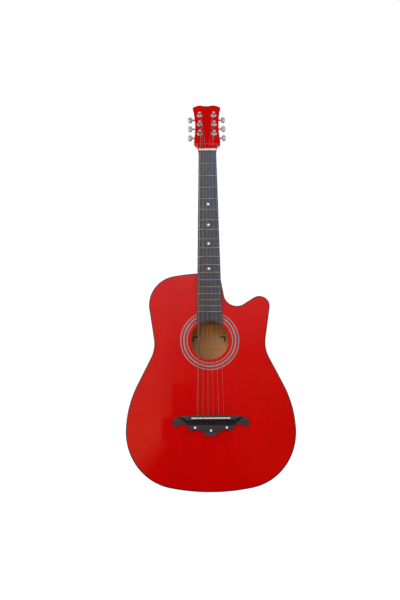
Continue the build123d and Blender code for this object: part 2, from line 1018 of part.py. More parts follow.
def gear_screw():
    top = gear_centre() - gear_width / 2
    head = Pos(0, 0, top - 0.6) * Cylinder(2.6, 1.2)
    head = fillet(head.edges().sort_by(Axis.Z)[0], 0.6)
    shank = Pos(0, 0, top + 1.5) * Cylinder(0.9, 3)
    slot = Pos(0, 0, top - 1.2) * Box(4, 0.6, 1.2)
    return head + shank - slot


def worm_thread():
    # right-handed trapezoid thread along Z, with a gap facing the wheel at the middle
    lead = worm_lead
    height = 2 * worm_half_length
    inner = worm_core_radius - 0.1
    path = Helix(pitch=lead, height=height, radius=inner)
    profile = Plane(origin=(inner, 0, 0), x_dir=(1, 0, 0), z_dir=(0, 1, 0)) * make_face(
        Polyline(
            (0, -thread_root_half),
            (worm_outer_radius - inner, -thread_tip_half),
            (worm_outer_radius - inner, thread_tip_half),
            (0, thread_root_half),
            close=True,
        )
    )
    return sweep(profile, path=path, is_frenet=True)


def worm():
    # built along Z about its middle, then laid along X
    thread = Pos(0, 0, -worm_half_length) * worm_thread()
    core_half = ear_offsets[1] - ear_thickness / 2 - worm_end_float
    core_low = ear_offsets[0] + ear_thickness / 2 + worm_end_float
    core = Pos(0, 0, (core_half + core_low) / 2) * Cylinder(
        worm_core_radius, core_half - core_low
    )
    tail_low = ear_offsets[0] - ear_thickness / 2 - 2 * worm_end_float
    tail = Pos(0, 0, (tail_low + core_low) / 2) * Cylinder(
        shaft_radius, core_low - tail_low
    )
    end = button_x - post_x + button_width / 4
    shaft = Pos(0, 0, (core_half + end) / 2) * Cylinder(shaft_radius, end - core_half)
    return core + thread + tail + shaft


def place_worm(shape, d):
    # the gap of the thread that should take the wheel's tooth faces -Y at the middle
    middle = Pos(post_x, d + worm_distance, gear_centre())
    return middle * Rot(0, 90, 0) * Rot(0, 0, worm_phase) * shape


def button(d):
    face = Ellipse(button_width / 2, button_length / 2)
    body = extrude(face, amount=button_thickness / 2, both=True)
    body = fillet(body.edges(), button_edge)
    middle = Pos(button_x, d + worm_distance, gear_centre())
    collar_x = -button_width / 2 - button_collar_length / 2 + 1.0
    collar = Pos(collar_x, 0, 0) * Rot(0, 90, 0) * Cylinder(
        button_collar_radius, button_collar_length + 2
    )
    shaft_end = button_width / 4
    bore = Pos(shaft_end - 15, 0, 0) * Rot(0, 90, 0) * Cylinder(shaft_radius, 30)
    return middle * (body + collar - bore)


def coil_rings(diameter):
    # the string's turns on its post: rings that sink a little into a thin sleeve
    radius = diameter / 2
    low = coil_start_height
    pitch = diameter * coil_pitch_share
    rings = []
    for turn in range(coil_turns):
        z = low + radius + turn * pitch
        rings.append(Pos(0, 0, z) * Torus(post_radius + radius, radius))
    sleeve_low = low + radius * 0.6
    sleeve_high = low + radius + (coil_turns - 1) * pitch + radius * 0.4
    middle = Pos(0, 0, (sleeve_low + sleeve_high) / 2)
    sleeve = middle * Cylinder(post_radius + radius, sleeve_high - sleeve_low)
    whole = join(rings) + sleeve
    return whole - Cylinder(post_radius, 60)


def string_post(number):
    # heaviest three to the -X side from the lowest post up, the others from the top down
    if number < 3:
        return -1, post_rows[number]
    return 1, post_rows[5 - number]


# ---- strings
def head_point(x, d, height):
    place = head_plane()
    point = place.origin + place.x_dir * x + place.y_dir * d + place.z_dir * height
    return point


def string_end(number):
    # where the string stops, just short of its first turn on the post
    side, d_post = string_post(number)
    radius = string_diameters[number] / 2
    turn_radius = post_radius + radius
    start = (string_x(number, nut_spacing), nut_bearing - nut_length)
    centre = (side * post_x, d_post)
    away = (start[0] - centre[0], start[1] - centre[1])
    distance = hypot(*away)
    swing = acos(turn_radius / distance) * (1 if side > 0 else -1)
    base = atan2(away[1], away[0])
    touch = (
        centre[0] + turn_radius * cos(base - swing),
        centre[1] + turn_radius * sin(base - swing),
    )
    run = hypot(touch[0] - start[0], touch[1] - start[1])
    clear = turn_radius + 2 * radius + coil_gap
    stop = sqrt(clear**2 - turn_radius**2)
    share = (run - stop) / run
    x = start[0] + (touch[0] - start[0]) * share
    d = start[1] + (touch[1] - start[1]) * share
    return head_point(x, d, coil_start_height + radius)


def saddle_wrap_radius(number):
    # the string bends over the saddle's crown about the crown's own middle
    return saddle_thickness / 2 + string_diameters[number] / 2 + string_lift


def string_points(number):
    radius = string_diameters[number] / 2
    x_low = string_x(number, saddle_spacing)
    x_nut = string_x(number, nut_spacing)
    hole_z = trough_low_z + 0.8
    wrap = saddle_wrap_radius(number)
    crown_height = saddle_height - saddle_thickness / 2 + wrap
    climb = atan2(crown_height - string_hole_height, saddle_z - hole_z)
    nut_height_here = nut_slot_height + radius + string_lift
    return [
        Vector(x_low, face_y - string_hole_height, ball_top_z() - ball_length / 2),
        Vector(x_low, face_y - string_hole_height, hole_z),
        Vector(x_low, face_y - crown_height, saddle_z - wrap * tan(climb / 2)),
        Vector(x_nut, face_y - nut_height_here, nut_z + nut_bearing),
        string_end(number),
    ]


def guitar_string(number):
    radius = string_diameters[number] / 2
    points = string_points(number)
    bends = [string_bend_radius, saddle_wrap_radius(number), string_bend_radius]
    path = FilletPolyline(*points, radius=bends)
    start = Plane(origin=points[0], z_dir=points[1] - points[0])
    wire = sweep(start * Circle(radius), path=path)
    x = points[0].X
    ball_y = points[0].Y
    z0 = ball_top_z() - ball_length
    ball = rod_along_z(x, ball_y, z0, ball_top_z(), ball_radius)
    return wire + ball


def export(name, shape):
    export_step(shape, os.path.join("parts", name + ".step"))


def build_all():
    export("top", make_top())
    export("back", make_back())
    export("bindings", make_bindings())
    export("side_bass", make_side(-1))
    export("side_treble", make_side(1))
    export("neck_block", make_neck_block())
    export("tail_block", make_tail_block())
    export("linings", make_linings())
    export("top_braces", make_top_braces())
    export("back_braces", make_back_braces())
    export("bridge_plate", make_bridge_plate())
    export("rosette", make_rosette())
    export("label", make_label())
    export("bridge", make_bridge())
    export("saddle", saddle_solid())
    export("bridge_bolts", make_bridge_bolts())
    export("bridge_caps", make_bridge_caps())
    export("neck", make_neck())
    export("heel_cap", make_heel_cap())
    export("neck_bolts", make_neck_bolts())
    export("truss_rod", make_truss_rod())
    export("fingerboard", make_fingerboard())
    export("frets", make_frets())
    export("fret_markers", make_fret_markers())
    export("nut", make_nut())
    export("tuner_plates", make_tuner_plates())
    export("plate_screws", make_plate_screws())
    export("bushings", make_bushings())
    strings = [guitar_string(number) for number in range(len(string_diameters))]
    export("wound_strings", group(strings[:wound_count]))
    export("plain_strings", group(strings[wound_count:]))

    place = head_plane()
    post = tuner_post()
    wheel = gear_wheel()
    wheel_screw = gear_screw()
    screw = worm()
    for number, diameter in enumerate(string_diameters):
        side, d = string_post(number)
        name = "_" + str(number + 1)
        spot = Pos(side * post_x, d, 0)
        export("post" + name, place * (spot * post))
        wheels = [mirrored(wheel, side), wheel_screw]
        export("gear" + name, group([place * (spot * piece) for piece in wheels]))
        export("string_coil" + name, place * (spot * coil_rings(diameter)))
        export("worm" + name, place * mirrored(place_worm(screw, d), side))
        export("button" + name, place * mirrored(button(d), side))


build_all()
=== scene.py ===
import math

import bmesh
import bpy
from mathutils import Matrix, Vector
from mathutils.bvhtree import BVHTree


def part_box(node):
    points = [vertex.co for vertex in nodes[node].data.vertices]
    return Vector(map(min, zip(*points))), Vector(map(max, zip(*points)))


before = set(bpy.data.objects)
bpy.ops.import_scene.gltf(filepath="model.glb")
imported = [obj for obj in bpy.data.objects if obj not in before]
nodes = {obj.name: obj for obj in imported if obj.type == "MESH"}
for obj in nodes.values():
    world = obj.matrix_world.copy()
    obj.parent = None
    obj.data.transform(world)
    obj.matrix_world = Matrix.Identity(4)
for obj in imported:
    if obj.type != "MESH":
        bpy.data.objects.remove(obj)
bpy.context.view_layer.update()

scene = bpy.context.scene
scene.view_settings.view_transform = "Standard"
print("frame:", len(nodes), "nodes")


# the camera first: low before the body, looking up the neck; degrees, and a lens in millimetres
cameraSetup = {"place": (-0.0214, -0.9603, 0.1970), "pitch": 13.09, "roll": -0.44, "lens": 24.6}


def addCamera(setup):
    data = bpy.data.cameras.new("camera")
    data.lens = setup["lens"]
    camera = bpy.data.objects.new("camera", data)
    scene.collection.objects.link(camera)
    aim = Matrix.Rotation(math.radians(90 + setup["pitch"]), 4, "X")
    roll = Matrix.Rotation(math.radians(setup["roll"]), 4, "Z")
    camera.matrix_world = Matrix.Translation(setup["place"]) @ aim @ roll
    scene.camera = camera


addCamera(cameraSetup)


# small helpers for node trees
def addNode(tree, kind, values=None, **settings):
    made = tree.nodes.new(kind)
    for name, value in settings.items():
        setattr(made, name, value)
    for socket, value in (values or {}).items():
        made.inputs[socket].default_value = value
    return made


def join(tree, start, end):
    tree.links.new(start, end)


def addMath(tree, operation, first, second=0.0, third=0.0, clamp=False):
    made = tree.nodes.new("ShaderNodeMath")
    made.operation = operation
    made.use_clamp = clamp
    for socket, value in zip(made.inputs, (first, second, third)):
        if isinstance(value, (int, float)):
            socket.default_value = value
        else:
            join(tree, value, socket)
    return made.outputs[0]


def addScaled(tree, value, scale, base, clamp=False):
    return addMath(tree, "MULTIPLY_ADD", value, scale, base, clamp=clamp)


def splitPlace(tree, output="Object"):
    # the three coordinates of the shaded point, or of the direction looked in
    coordinates = tree.nodes.new("ShaderNodeTexCoord")
    split = tree.nodes.new("ShaderNodeSeparateXYZ")
    join(tree, coordinates.outputs[output], split.inputs[0])
    return split.outputs


def addMix(tree, share, first, second, blend="MIX"):
    made = tree.nodes.new("ShaderNodeMix")
    made.data_type = "RGBA"
    made.blend_type = blend
    for socket, value in ((made.inputs[0], share), (made.inputs[6], first), (made.inputs[7], second)):
        if isinstance(value, (int, float)):
            socket.default_value = value
        elif isinstance(value, tuple):
            socket.default_value = (*value, 1)
        else:
            join(tree, value, socket)
    return made.outputs[2]


def addRamp(tree, value, stops):
    made = tree.nodes.new("ShaderNodeValToRGB")
    elements = made.color_ramp.elements
    while len(elements) < len(stops):
        elements.new(0.5)
    for element, (place, colour) in zip(elements, stops):
        element.position = place
        element.color = (*colour, 1) if isinstance(colour, tuple) else (colour, colour, colour, 1)
    join(tree, value, made.inputs["Fac"])
    return made.outputs["Color"]


def newGroup(name, inputs, outputs):
    group = bpy.data.node_groups.new(name, "ShaderNodeTree")
    for label, kind, value in inputs:
        socket = group.interface.new_socket(label, in_out="INPUT", socket_type=kind)
        socket.default_value = value
    for label, kind in outputs:
        group.interface.new_socket(label, in_out="OUTPUT", socket_type=kind)
    return group, group.nodes.new("NodeGroupInput"), group.nodes.new("NodeGroupOutput")


def useGroup(tree, group, values=None):
    made = tree.nodes.new("ShaderNodeGroup")
    made.node_tree = group
    for socket, value in (values or {}).items():
        if isinstance(value, (int, float)):
            made.inputs[socket].default_value = value
        else:
            join(tree, value, made.inputs[socket])
    return made


def newFinish(name, values):
    material = bpy.data.materials.new(name)
    material.use_nodes = True
    tree = material.node_tree
    shader = tree.nodes["Principled BSDF"]
    for socket, value in values.items():
        shader.inputs[socket].default_value = value
    return material, tree, shader


def addPlace(tree, scale=(1, 1, 1), turn=(0, 0, 0)):
    # object coordinates, stretched or turned
    coordinates = tree.nodes.new("ShaderNodeTexCoord")
    mapping = addNode(tree, "ShaderNodeMapping", {"Scale": scale, "Rotation": turn})
    join(tree, coordinates.outputs["Object"], mapping.inputs["Vector"])
    return mapping.outputs["Vector"]


def addBump(tree, shader, height, strength, distance):
    bump = addNode(tree, "ShaderNodeBump", {"Strength": strength, "Distance": distance})
    join(tree, height, bump.inputs["Height"])
    join(tree, bump.outputs["Normal"], shader.inputs["Normal"])


# the studio: a white floor and white surroundings, with dim walls in the reflections
studio = {
    "floorHalf": 3.0,
    "surround": (1.0, 1.0, 1.0),
    "overhead": (0.5, 0.5, 0.5),
    "fill": 0.46,
    "key": {"place": (-1.1, -2.4, 0.7), "size": 2.4, "power": 46, "colour": (1.0, 0.975, 0.95)},
    "side": {"place": (1.9, -1.5, 1.1), "size": 2.0, "power": 17, "colour": (0.96, 0.98, 1.0)},
    "behind": {"place": (-0.8, 1.9, 1.6), "size": 1.6, "power": 26, "colour": (1.0, 1.0, 1.0)},
    "aim": (0, 0, 0.42),
    # what the polish mirrors: walls by rising direction, from 0 straight down to 1 straight up
    "lowWalls": [(0.48, (0.08, 0.06, 0.04)), (0.55, (0.17, 0.13, 0.10)), (0.63, (0.50, 0.50, 0.46))],
    "lowWallsLeft": [(0.48, (0.45, 0.31, 0.19)), (0.55, (0.42, 0.34, 0.27)), (0.63, (0.52, 0.51, 0.46))],
    "highWalls": [(0.70, (1.1, 1.4, 1.9)), (0.77, (2.3, 3.3, 4.9)), (0.85, (0.7, 0.8, 1.0)),
                  (0.93, (0.03, 0.03, 0.03))],
    "leftBlend": (-14.0, -0.6),
    # the mirrored floor across X, from 0.6 m on the left: a warm patch, darkness, a warm edge
    "floorLeft": 0.6,
    "mirrorFloor": [(0.36, (0.55, 0.36, 0.18)), (0.45, (0.004, 0.002, 0.002)),
                    (0.68, (0.004, 0.002, 0.002)), (0.74, (0.07, 0.04, 0.015))],
    # low and high corners, as X and Z, of dark things behind the viewer
    "stands": [((-0.154, 0.0), (-0.050, 0.256)), ((-0.20, 0.0), (0.117, 0.10))],
    "standsBack": -1.04,
}


def addFloor(setup):
    mesh = bpy.data.meshes.new("floor")
    build = bmesh.new()
    bmesh.ops.create_grid(build, x_segments=2, y_segments=2, size=setup["floorHalf"])
    build.to_mesh(mesh)
    build.free()
    floor = bpy.data.objects.new("floor", mesh)
    scene.collection.objects.link(floor)
    material, tree, shader = newFinish("floorPaper", {
        "Base Color": (0.8, 0.8, 0.8, 1), "Roughness": 0.9, "Specular IOR Level": 0.0,
    })
    ray = tree.nodes.new("ShaderNodeLightPath")
    white = addNode(tree, "ShaderNodeEmission", {"Color": (1, 1, 1, 1), "Strength": 1.1})
    across = addScaled(tree, splitPlace(tree)["X"], 1.0, setup["floorLeft"])
    dim = tree.nodes.new("ShaderNodeEmission")
    join(tree, addRamp(tree, across, setup["mirrorFloor"]), dim.inputs["Color"])
    seen = tree.nodes.new("ShaderNodeMixShader")
    mirrored = tree.nodes.new("ShaderNodeMixShader")
    share = addMath(tree, "MULTIPLY", ray.outputs["Is Camera Ray"], 0.96)
    join(tree, share, seen.inputs[0])
    join(tree, shader.outputs[0], seen.inputs[1])
    join(tree, white.outputs[0], seen.inputs[2])
    join(tree, ray.outputs["Is Glossy Ray"], mirrored.inputs[0])
    join(tree, seen.outputs[0], mirrored.inputs[1])
    join(tree, dim.outputs[0], mirrored.inputs[2])
    join(tree, mirrored.outputs[0], tree.nodes["Material Output"].inputs["Surface"])
    mesh.materials.append(material)


def addSurround(setup):
    world = bpy.data.worlds.new("surround")
    world.use_nodes = True
    scene.world = world
    tree = world.node_tree
    base = tree.nodes["Background"]
    base.inputs["Strength"].default_value = setup["fill"]
    white = addNode(tree, "ShaderNodeBackground", {"Color": (1, 1, 1, 1), "Strength": 1.02})
    # the light falls off overhead; the reflections see dim walls with a cool window higher up
    direction = splitPlace(tree, "Generated")
    rise = addScaled(tree, direction["Z"], 0.5, 0.5)
    fall = addRamp(tree, rise, [(0.5, setup["surround"]), (1.0, setup["overhead"])])
    join(tree, fall, base.inputs["Color"])
    ahead = addRamp(tree, rise, setup["lowWalls"] + setup["highWalls"])
    left = addRamp(tree, rise, setup["lowWallsLeft"] + setup["highWalls"])
    toLeft = addScaled(tree, direction["X"], *setup["leftBlend"], clamp=True)
    walls = addMix(tree, toLeft, ahead, left)
    mirrored = tree.nodes.new("ShaderNodeBackground")
    join(tree, walls, mirrored.inputs["Color"])
    ray = tree.nodes.new("ShaderNodeLightPath")
    first = tree.nodes.new("ShaderNodeMixShader")
    second = tree.nodes.new("ShaderNodeMixShader")
    join(tree, ray.outputs["Is Glossy Ray"], first.inputs[0])
    join(tree, base.outputs[0], first.inputs[1])
    join(tree, mirrored.outputs[0], first.inputs[2])
    join(tree, ray.outputs["Is Camera Ray"], second.inputs[0])
    join(tree, first.outputs[0], second.inputs[1])
    join(tree, white.outputs[0], second.inputs[2])
    join(tree, second.outputs[0], tree.nodes["World Output"].inputs["Surface"])


def addLamp(name, setup, target):
    data = bpy.data.lights.new(name, "AREA")
    data.shape = "SQUARE"
    data.size = setup["size"]
    data.energy = setup["power"]
    data.color = setup["colour"]
    lamp = bpy.data.objects.new(name, data)
    scene.collection.objects.link(lamp)
    lamp.location = setup["place"]
    away = Vector(setup["place"]) - Vector(target)
    lamp.rotation_euler = away.to_track_quat("Z", "Y").to_euler()
    lamp.visible_camera = False
    lamp.visible_glossy = False


def addStands(setup):
    # dark things that stand behind the viewer and show only in the polish of the lacquer
    material, tree, shader = newFinish("standBlack", {
        "Base Color": (0.002, 0.001, 0.001, 1), "Roughness": 0.9, "Specular IOR Level": 0.0,
    })
    for number, (low, high) in enumerate(setup["stands"]):
        mesh = bpy.data.meshes.new(f"stand{number}")
        build = bmesh.new()
        bmesh.ops.create_grid(build, x_segments=1, y_segments=1, size=0.5)
        width, height = high[0] - low[0], high[1] - low[1]
        middle = Vector((low[0] + width / 2, setup["standsBack"], low[1] + height / 2))
        shape = Matrix.Rotation(math.pi / 2, 4, "X") @ Matrix.Diagonal((width, height, 1, 1))
        bmesh.ops.transform(build, matrix=Matrix.Translation(middle) @ shape, verts=build.verts)
        build.to_mesh(mesh)
        build.free()
        mesh.materials.append(material)
        stand = bpy.data.objects.new(f"stand{number}", mesh)
        scene.collection.objects.link(stand)
        stand.visible_camera = False
        stand.visible_diffuse = False
        stand.visible_shadow = False


addFloor(studio)
addSurround(studio)
for lampName in ("key", "side", "behind"):
    addLamp(lampName, studio[lampName], studio["aim"])
addStands(studio)
print("studio: floor, surround, lamps and stands")


# effects that several finishes share
def makeHandling():
    # soft smudges, fine specks and hair scratches on anything that is touched
    group, given, made = newGroup(
        "handling", [("Scale", "NodeSocketFloat", 1.0)],
        [("Smudge", "NodeSocketFloat"), ("Speck", "NodeSocketFloat"), ("Scratch", "NodeSocketFloat")],
    )
    coordinates = group.nodes.new("ShaderNodeTexCoord")
    smudge = addNode(group, "ShaderNodeTexNoise", {"Detail": 5.0, "Roughness": 0.55, "Distortion": 0.6})
    speck = addNode(group, "ShaderNodeTexNoise", {"Detail": 2.0, "Roughness": 0.5})
    scratch = addNode(group, "ShaderNodeTexNoise", {"Detail": 3.0, "Roughness": 0.7, "Distortion": 0.2})
    stretched = addPlace(group, (1.0, 1.0, 0.03), (0.2, 0.1, 0.3))
    for texture, scale in ((smudge, 26.0), (speck, 900.0), (scratch, 1500.0)):
        join(group, addMath(group, "MULTIPLY", given.outputs["Scale"], scale), texture.inputs["Scale"])
    join(group, coordinates.outputs["Object"], smudge.inputs["Vector"])
    join(group, coordinates.outputs["Object"], speck.inputs["Vector"])
    join(group, stretched, scratch.inputs["Vector"])
    join(group, smudge.outputs["Fac"], made.inputs["Smudge"])
    join(group, addMath(group, "SUBTRACT", speck.outputs["Fac"], 0.64, clamp=True), made.inputs["Speck"])
    join(group, scratch.outputs["Fac"], made.inputs["Scratch"])
    return group


def makeGrain():
    # long wood grain with open pores, on a vector that the finish has stretched along the wood
    group, given, made = newGroup(
        "grain", [("Vector", "NodeSocketVector", (0, 0, 0)), ("Fineness", "NodeSocketFloat", 1.0)],
        [("Bands", "NodeSocketFloat"), ("Fibre", "NodeSocketFloat"), ("Pores", "NodeSocketFloat")],
    )
    bands = addNode(group, "ShaderNodeTexNoise", {"Detail": 3.0, "Roughness": 0.5, "Distortion": 0.8})
    fibre = addNode(group, "ShaderNodeTexNoise", {"Detail": 6.0, "Roughness": 0.65, "Distortion": 0.3})
    pores = addNode(group, "ShaderNodeTexNoise", {"Detail": 1.0, "Roughness": 0.4})
    for texture, scale in ((bands, 60.0), (fibre, 420.0), (pores, 1300.0)):
        join(group, given.outputs["Vector"], texture.inputs["Vector"])
        join(group, addMath(group, "MULTIPLY", given.outputs["Fineness"], scale), texture.inputs["Scale"])
    join(group, bands.outputs["Fac"], made.inputs["Bands"])
    join(group, fibre.outputs["Fac"], made.inputs["Fibre"])
    pits = addMath(group, "SUBTRACT", 0.40, pores.outputs["Fac"], clamp=True)
    join(group, addMath(group, "MULTIPLY", pits, 7.0, clamp=True), made.inputs["Pores"])
    return group


def makeEdges():
    # a mask of the outer edges, from how far a rounded normal turns off the true one
    group, given, made = newGroup(
        "edges", [("Radius", "NodeSocketFloat", 0.001), ("Gain", "NodeSocketFloat", 6.0)],
        [("Edge", "NodeSocketFloat")],
    )
    rounded = addNode(group, "ShaderNodeBevel", samples=6)
    true = group.nodes.new("ShaderNodeNewGeometry")
    dot = addNode(group, "ShaderNodeVectorMath", operation="DOT_PRODUCT")
    join(group, given.outputs["Radius"], rounded.inputs["Radius"])
    join(group, rounded.outputs["Normal"], dot.inputs[0])
    join(group, true.outputs["Normal"], dot.inputs[1])
    turned = addMath(group, "SUBTRACT", 1.0, dot.outputs["Value"], clamp=True)
    join(group, addMath(group, "MULTIPLY", turned, given.outputs["Gain"], clamp=True), made.inputs["Edge"])
    return group


handling = makeHandling()
grain = makeGrain()
edges = makeEdges()


# red lacquer, sprayed thick over sealed wood and polished
lacquerSetup = {
    "deep": (0.50, 0.0002, 0.0001), "bright": (0.60, 0.0006, 0.0003), "rubbed": (0.62, 0.03, 0.02),
}


def makeLacquer(name, deep, bright, rubbed):
    material, tree, shader = newFinish(name, {
        "Roughness": 0.32, "Specular IOR Level": 0.02, "Coat Weight": 1.0, "Coat Roughness": 0.045,
        "Coat IOR": 1.5,
    })
    marks = useGroup(tree, handling, {"Scale": 0.35})
    wood = useGroup(tree, grain, {"Vector": addPlace(tree, (1, 1, 0.05)), "Fineness": 0.5})
    rim = useGroup(tree, edges, {"Radius": 0.0012, "Gain": 2.0})
    tone = addMath(tree, "MULTIPLY", marks.outputs["Smudge"], wood.outputs["Bands"])
    colour = addMix(tree, addMath(tree, "MULTIPLY", tone, 2.6, clamp=True), deep, bright)
    worn = addMath(tree, "MULTIPLY", rim.outputs["Edge"], marks.outputs["Smudge"])
    colour = addMix(tree, addMath(tree, "MULTIPLY", worn, 0.25, clamp=True), colour, rubbed)
    join(tree, colour, shader.inputs["Base Color"])
    join(tree, addScaled(tree, marks.outputs["Smudge"], 0.18, 0.24), shader.inputs["Roughness"])
    peel = addMath(tree, "MULTIPLY_ADD", wood.outputs["Fibre"], 0.5, marks.outputs["Smudge"])
    addBump(tree, shader, peel, 0.05, 0.0004)
    return material


# glossy black plastic of the edge strips and the heel cap
bindingSetup = {"black": (0.004, 0.004, 0.004), "dusty": (0.022, 0.022, 0.023)}


def makeBinding(name, black, dusty):
    material, tree, shader = newFinish(name, {
        "Specular IOR Level": 0.3, "Coat Weight": 0.3, "Coat Roughness": 0.1,
    })
    marks = useGroup(tree, handling, {"Scale": 1.0})
    dust = addMath(tree, "MULTIPLY_ADD", marks.outputs["Smudge"], 0.4, marks.outputs["Speck"])
    join(tree, addMix(tree, dust, black, dusty), shader.inputs["Base Color"])
    join(tree, addScaled(tree, marks.outputs["Smudge"], 0.25, 0.18), shader.inputs["Roughness"])
    addBump(tree, shader, marks.outputs["Scratch"], 0.06, 0.0001)
    return material


# bare and dark woods share the grain; each has its own colours and direction
woodSetups = {
    "spruce": {
        "early": (0.62, 0.43, 0.22), "late": (0.44, 0.26, 0.10), "pore": (0.25, 0.13, 0.05),
        "stretch": (1, 1, 0.04), "fineness": 2.2, "pores": 0.25, "rough": 0.6, "bump": 0.25,
    },
    "plywood": {
        "early": (0.95, 0.42, 0.09), "late": (0.78, 0.30, 0.05), "pore": (0.30, 0.11, 0.03),
        "stretch": (1, 1, 0.035), "fineness": 1.1, "pores": 0.5, "rough": 0.62, "bump": 0.3,
    },
    "rosewood": {
        "early": (0.056, 0.052, 0.057), "late": (0.034, 0.031, 0.035), "pore": (0.008, 0.007, 0.007),
        "stretch": (1, 1, 0.03), "fineness": 1.8, "pores": 0.8, "rough": 0.42, "bump": 0.35,
    },
    "bridgewood": {
        "early": (0.050, 0.043, 0.044), "late": (0.026, 0.022, 0.023), "pore": (0.006, 0.005, 0.005),
        "stretch": (0.03, 1, 1), "fineness": 1.8, "pores": 0.8, "rough": 0.42, "bump": 0.35,
        # the colour below is painted shade, nearly black, for the low trough and grooves of the bridge
        "paintedShade": (0.006, 0.003, 0.003), "paintedShadeHeight": 0.0034, "paintedShadeBlend": 0.0004,
    },
}


def makeWood(name, setup):
    material, tree, shader = newFinish(name, {"Specular IOR Level": 0.5})
    along = addPlace(tree, setup["stretch"])
    wood = useGroup(tree, grain, {"Vector": along, "Fineness": setup["fineness"]})
    marks = useGroup(tree, handling, {"Scale": 0.8})
    bands = addRamp(tree, wood.outputs["Bands"], [(0.38, 0.0), (0.62, 1.0)])
    colour = addMix(tree, bands, setup["early"], setup["late"])
    fibre = addRamp(tree, wood.outputs["Fibre"], [(0.3, 0.72), (0.7, 1.18)])
    colour = addMix(tree, 1.0, colour, fibre, "MULTIPLY")
    pits = addMath(tree, "MULTIPLY", wood.outputs["Pores"], setup["pores"])
    colour = addMix(tree, pits, colour, setup["pore"])
    if "paintedShade" in setup:
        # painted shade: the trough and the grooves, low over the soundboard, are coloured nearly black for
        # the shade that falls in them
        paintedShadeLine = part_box("top")[0].y - setup["paintedShadeHeight"]
        depth = addMath(tree, "SUBTRACT", splitPlace(tree)["Y"], paintedShadeLine)
        paintedShadeShare = addMath(tree, "DIVIDE", depth, setup["paintedShadeBlend"], clamp=True)
        colour = addMix(tree, paintedShadeShare, colour, setup["paintedShade"])
    join(tree, colour, shader.inputs["Base Color"])
    dull = addScaled(tree, marks.outputs["Smudge"], 0.2, setup["rough"] - 0.1)
    join(tree, dull, shader.inputs["Roughness"])
    height = addMath(tree, "SUBTRACT", wood.outputs["Fibre"], wood.outputs["Pores"])
    addBump(tree, shader, height, setup["bump"], 0.0003)
    return material


# metals: bright and dull colour, roughness, scale of the wear, and metallic share
metalSetups = {
    "nickel": ((0.90, 0.87, 0.80), (0.80, 0.73, 0.60), 0.22, 1.2, 0.6),
    "satin": ((0.72, 0.70, 0.66), (0.56, 0.52, 0.47), 0.42, 1.2, 0.55),
    "brass": ((0.72, 0.52, 0.24), (0.50, 0.34, 0.14), 0.28, 2.0, 1.0),
    "steel": ((0.55, 0.56, 0.58), (0.36, 0.36, 0.37), 0.30, 1.5, 1.0),
    "fretWire": ((0.85, 0.62, 0.36), (0.62, 0.43, 0.24), 0.40, 2.5, 1.0),
    "plainWire": ((0.50, 0.48, 0.48), (0.36, 0.34, 0.34), 0.42, 3.0, 1.0),
}


def makeMetal(name, bright, dull, rough, wearScale, metallic):
    material, tree, shader = newFinish(name, {"Metallic": metallic})
    marks = useGroup(tree, handling, {"Scale": wearScale})
    rim = useGroup(tree, edges, {"Radius": 0.0004, "Gain": 3.0})
    tarnish = addRamp(tree, marks.outputs["Smudge"], [(0.35, 0.0), (0.7, 1.0)])
    colour = addMix(tree, tarnish, bright, dull)
    polished = addMath(tree, "MULTIPLY", rim.outputs["Edge"], 0.5, clamp=True)
    colour = addMix(tree, polished, colour, bright)
    join(tree, colour, shader.inputs["Base Color"])
    cloud = addScaled(tree, marks.outputs["Smudge"], 0.22, rough - 0.13)
    cloud = addMath(tree, "MULTIPLY_ADD", marks.outputs["Scratch"], 0.06, cloud)
    join(tree, cloud, shader.inputs["Roughness"])
    addBump(tree, shader, marks.outputs["Scratch"], 0.08, 0.00006)
    return material


# bronze-wound strings: the wrap wire is a fine row of ridges along the string, with painted shade darkening
# the grooves between the turns
woundSetup = {"ridge": (0.62, 0.37, 0.23), "paintedGrooveShade": (0.26, 0.13, 0.08), "pitch": 0.00042}


def makeWound(name, ridge, paintedGrooveShade, pitch):
    material, tree, shader = newFinish(name, {"Metallic": 1.0})
    wrap = addNode(tree, "ShaderNodeTexWave", {"Scale": math.pi / (10 * pitch), "Distortion": 0.0},
                   bands_direction="Z", wave_profile="SIN")
    join(tree, addPlace(tree), wrap.inputs["Vector"])
    marks = useGroup(tree, handling, {"Scale": 3.0})
    # the darker colour between the ridges is painted shade in the grooves
    join(tree, addMix(tree, wrap.outputs["Fac"], paintedGrooveShade, ridge), shader.inputs["Base Color"])
    join(tree, addScaled(tree, marks.outputs["Smudge"], 0.25, 0.25), shader.inputs["Roughness"])
    addBump(tree, shader, wrap.outputs["Fac"], 0.5, 0.0001)
    return material


# ivory plastic of the nut and saddle
ivorySetup = {"pale": (0.82, 0.80, 0.74), "warm": (0.70, 0.66, 0.58), "dirt": (0.35, 0.28, 0.2)}


def makeIvory(name, pale, warm, dirt):
    material, tree, shader = newFinish(name, {
        "Subsurface Weight": 0.15, "Subsurface Scale": 0.001, "Coat Weight": 0.3, "Coat Roughness": 0.2,
    })
    shader.inputs["Subsurface Radius"].default_value = (1.0, 0.7, 0.4)
    marks = useGroup(tree, handling, {"Scale": 2.0})
    colour = addMix(tree, marks.outputs["Smudge"], pale, warm)
    join(tree, addMix(tree, marks.outputs["Speck"], colour, dirt), shader.inputs["Base Color"])
    join(tree, addScaled(tree, marks.outputs["Smudge"], 0.2, 0.25), shader.inputs["Roughness"])
    addBump(tree, shader, marks.outputs["Scratch"], 0.1, 0.0001)
    return material


# pearl of the position dots and of the caps on the bridge
pearlSetup = {"tints": [(0.3, (0.82, 0.86, 0.92)), (0.5, (0.92, 0.88, 0.90)), (0.7, (0.78, 0.90, 0.84))]}


